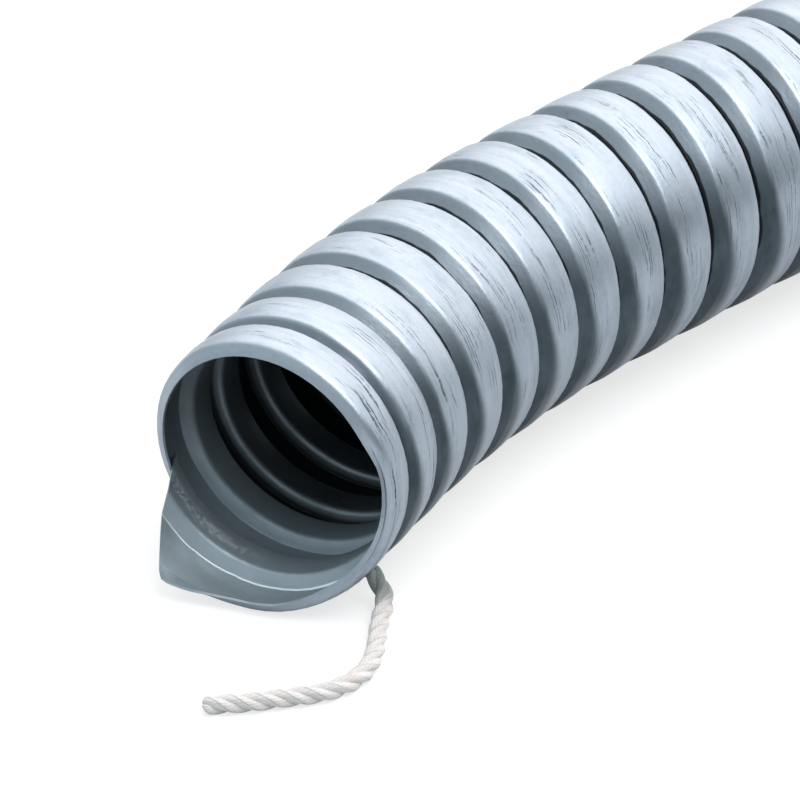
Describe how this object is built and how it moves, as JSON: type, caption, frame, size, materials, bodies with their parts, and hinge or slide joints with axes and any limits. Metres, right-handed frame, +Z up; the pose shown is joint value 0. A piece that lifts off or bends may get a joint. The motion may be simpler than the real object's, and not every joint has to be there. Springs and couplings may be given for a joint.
{
  "type": "flexible metal conduit",
  "caption": "Cut length of strip-wound flexible metal conduit in a gentle curve, with a cotton packing cord hanging out of its first seam.",
  "frame": {"origin": "on the floor under the middle of the conduit's bounding box, the free cord left out", "axes": "+Z up, +X along the conduit's length away from the open mouth, +Y to the left of that"},
  "size_m": [0.5252, 0.092, 0.0587],
  "materials": {
    "galvanised_steel": "bright zinc, streaked along the winding",
    "cotton": "undyed three-strand cotton cord"
  },
  "bodies": {
    "root": {"wound_strip": "galvanised_steel", "packing_cord_in_seam": "cotton", "packing_cord_end": "cotton"}
  },
  "joints": []
}
